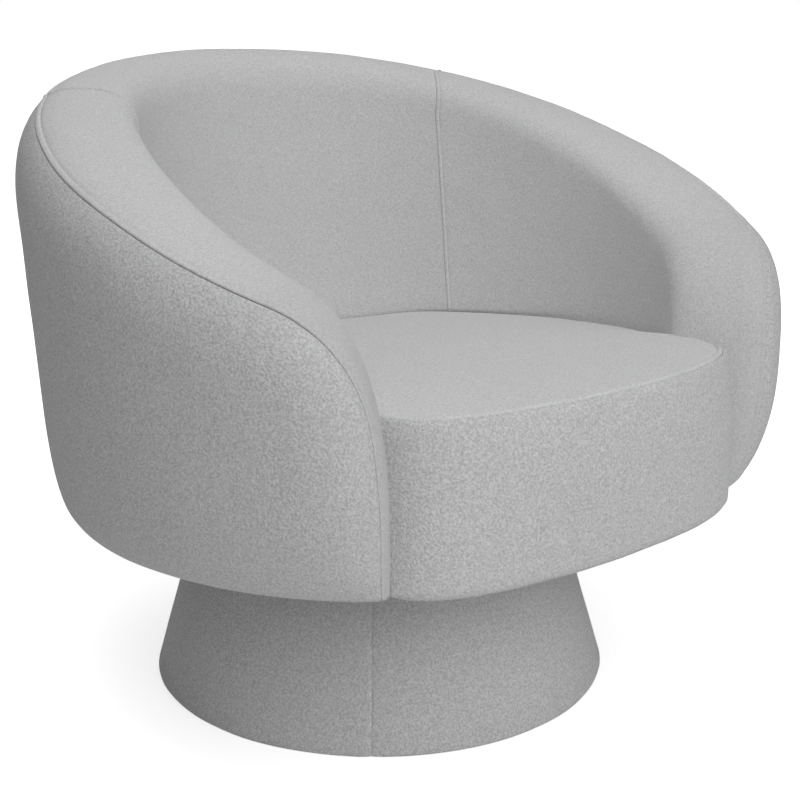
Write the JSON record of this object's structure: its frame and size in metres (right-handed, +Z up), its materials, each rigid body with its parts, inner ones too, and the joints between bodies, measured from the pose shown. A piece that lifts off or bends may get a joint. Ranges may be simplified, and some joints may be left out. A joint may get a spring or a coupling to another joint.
{
  "type": "swivel tub armchair",
  "caption": "Low upholstered tub armchair with a sloping rounded rim and a fixed padded seat, turning on a padded cone base.",
  "frame": {"origin": "on the floor at the swivel axis, at the middle of the base", "axes": "+Z up, the chair faces -Y, +X to the right of someone who looks at its front"},
  "size_m": [0.7898, 0.7356, 0.671],
  "materials": {
    "fabric": "light grey heathered woven upholstery",
    "foam": "open-cell polyurethane foam",
    "plywood": "bare birch plywood",
    "lining": "thin black non-woven dust cover",
    "steel": "zinc-plated sheet steel",
    "nylon": "black nylon"
  },
  "bodies": {
    "base": {"base_cover": "fabric", "base_padding": "foam", "base_wall": "plywood", "base_floor_board": "plywood", "base_top_board": "plywood", "base_rib_1": "plywood", "base_rib_2": "plywood", "base_rib_3": "plywood", "base_rib_4": "plywood", "base_dust_cover": "lining", "glide_1": "nylon", "glide_2": "nylon", "glide_3": "nylon", "glide_4": "nylon", "swivel_lower_plate": "steel", "base_bolt_1": "steel", "base_bolt_2": "steel", "base_bolt_3": "steel", "base_bolt_4": "steel"},
    "bearing": {"ball_cage": "steel"},
    "tub": {"swivel_upper_plate": "steel", "tub_bolt_1": "steel", "tub_bolt_2": "steel", "tub_bolt_3": "steel", "tub_bolt_4": "steel", "bottom_board": "plywood", "seat_deck": "plywood", "deck_block_1": "plywood", "deck_block_2": "plywood", "deck_block_3": "plywood", "deck_block_4": "plywood", "front_rail": "plywood", "tub_dust_cover": "lining", "upright_1": "plywood", "upright_2": "plywood", "upright_3": "plywood", "upright_4": "plywood", "upright_5": "plywood", "back_roll": "foam", "left_arm_roll": "foam", "right_arm_roll": "foam", "back_rail": "plywood", "left_arm_rail": "plywood", "right_arm_rail": "plywood", "outer_cover": "fabric", "outer_padding": "foam", "outer_panel": "plywood", "back_cover": "fabric", "back_pad": "foam", "back_inner_panel": "plywood", "left_arm_cover": "fabric", "left_arm_pad": "foam", "left_arm_inner_panel": "plywood", "right_arm_cover": "fabric", "right_arm_pad": "foam", "right_arm_inner_panel": "plywood", "seat_top_cover": "fabric", "seat_foam": "foam", "seat_front_cover": "fabric", "front_pad": "foam"}
  },
  "joints": [
    {"name": "seat_swivel", "type": "hinge", "parent": "base", "child": "tub", "pos_m": [0, 0, 0.2241], "axis": [0, 0, 1], "continuous": true},
    {"name": "bearing_spin", "type": "hinge", "parent": "base", "child": "bearing", "pos_m": [0, 0, 0.2191], "axis": [0, 0, 1], "continuous": true}
  ],
  "couplings": [
    {"joint": "bearing_spin", "follows": "seat_swivel", "ratio": 0.5}
  ]
}
